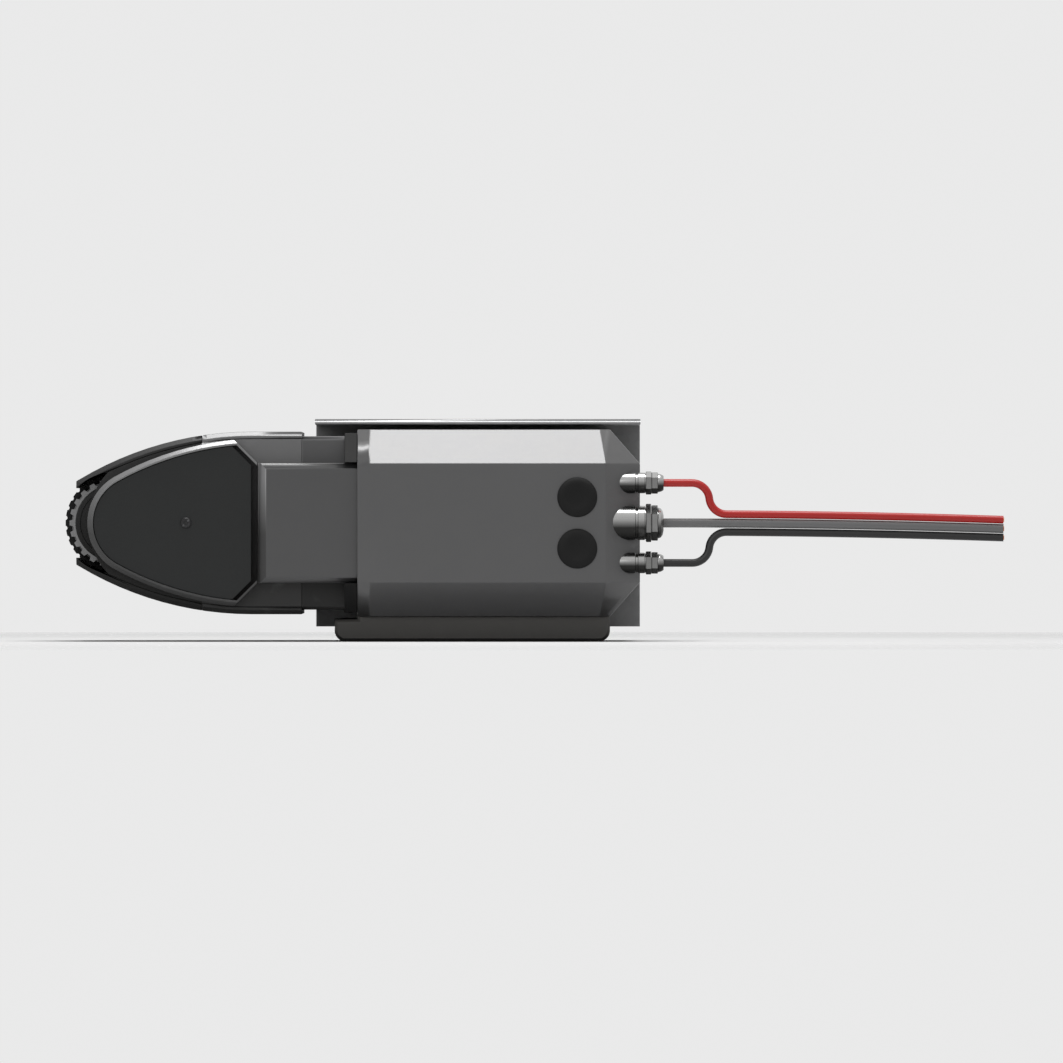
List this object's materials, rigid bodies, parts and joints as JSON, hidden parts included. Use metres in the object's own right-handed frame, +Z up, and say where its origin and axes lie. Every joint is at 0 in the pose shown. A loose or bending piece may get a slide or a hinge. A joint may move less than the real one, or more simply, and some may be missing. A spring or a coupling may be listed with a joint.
{
  "type": "caravan motor mover",
  "caption": "Caravan drive unit: ridged roller in a tapered head that slides out of a chamfered motor housing on a rail plate, with glands and flying leads.",
  "frame": {"origin": "centre of the mounting plate's rear face, which lies on the chassis rail", "axes": "+X from the roller towards the leads, +Y into the chassis rail, +Z up"},
  "size_m": [0.6576, 0.2337, 0.1565],
  "materials": {
    "plate_steel": "satin",
    "housing_grey": "satin",
    "neck_grey": "satin",
    "rim_alloy": "satin",
    "panel_dark": "satin",
    "tray_dark": "matte",
    "black_rubber": "matte",
    "black_plastic": "matte",
    "bright_metal": "satin",
    "core_alloy": "satin",
    "steel": "satin",
    "actuator_dark": "satin",
    "bronze": "satin",
    "lead_red": "satin",
    "lead_black": "satin",
    "lead_grey": "satin"
  },
  "bodies": {
    "base": {"mounting_plate": "plate_steel", "weld_nuts": "steel", "motor_housing": "housing_grey", "plate_screws": "steel", "mouth_seal": "black_rubber", "guide_block": "rim_alloy", "guide_bushes": "bronze", "belly_cover": "tray_dark", "belly_screws": "steel", "service_plugs": "black_rubber", "actuator_bracket": "steel", "spindle_bearing": "bright_metal", "actuator_gearbox": "actuator_dark", "actuator_motor": "steel", "terminal_block": "black_plastic", "lead_gland_bodies": "bright_metal", "lead_gland_nuts": "bright_metal", "lead_gland_seals": "black_rubber", "control_gland_body": "bright_metal", "control_gland_nut": "bright_metal", "control_gland_seal": "black_rubber", "positive_lead": "lead_red", "negative_lead": "lead_black", "control_cable": "lead_grey"},
    "head": {"near_plate": "housing_grey", "gear_plate": "core_alloy", "rear_plate": "core_alloy", "tie_bars": "core_alloy", "tie_bar_screws": "steel", "upper_casing": "housing_grey", "lower_casing": "housing_grey", "upper_guard": "black_plastic", "lower_guard": "black_plastic", "side_frame": "rim_alloy", "side_panel": "panel_dark", "panel_screw": "steel", "neck_cover": "neck_grey", "neck_screws": "steel", "slide_shroud": "housing_grey", "guide_rods": "bright_metal", "rod_nuts": "steel", "nut_bracket": "core_alloy", "spindle_nut": "bronze", "gear_cover": "tray_dark", "gear_cover_screws": "steel", "planetary_gearbox": "core_alloy", "drive_motor": "steel", "motor_end_cap": "black_plastic", "roller_bearings": "bright_metal", "idler_axle": "steel"},
    "roller": {"roller_core": "core_alloy", "roller_sleeve": "black_rubber", "roller_axle": "steel", "roller_gear": "steel"},
    "idler": {"idler_gear": "steel", "idler_bush": "bronze"},
    "pinion": {"motor_pinion": "steel"},
    "spindle": {"feed_spindle": "bright_metal"}
  },
  "joints": [
    {"name": "head_slide", "type": "slide", "parent": "base", "child": "head", "axis": [-1, 0, 0], "range_m": [-0.029, 0.006]},
    {"name": "roller_spin", "type": "hinge", "parent": "head", "child": "roller", "pos_m": [-0.255, -0.12, 0], "axis": [0, 1, 0], "continuous": true},
    {"name": "idler_spin", "type": "hinge", "parent": "head", "child": "idler", "pos_m": [-0.204, -0.03, 0], "axis": [0, 1, 0], "continuous": true},
    {"name": "pinion_spin", "type": "hinge", "parent": "head", "child": "pinion", "pos_m": [-0.159, -0.03, 0], "axis": [0, 1, 0], "continuous": true},
    {"name": "spindle_spin", "type": "hinge", "parent": "base", "child": "spindle", "pos_m": [0, -0.163, 0], "axis": [1, 0, 0], "range_deg": [-1305, 270]}
  ],
  "couplings": [
    {"joint": "idler_spin", "follows": "roller_spin", "ratio": -0.64516},
    {"joint": "pinion_spin", "follows": "roller_spin", "ratio": 1.4286},
    {"joint": "spindle_spin", "follows": "head_slide", "rad_per_m": 785.4}
  ]
}
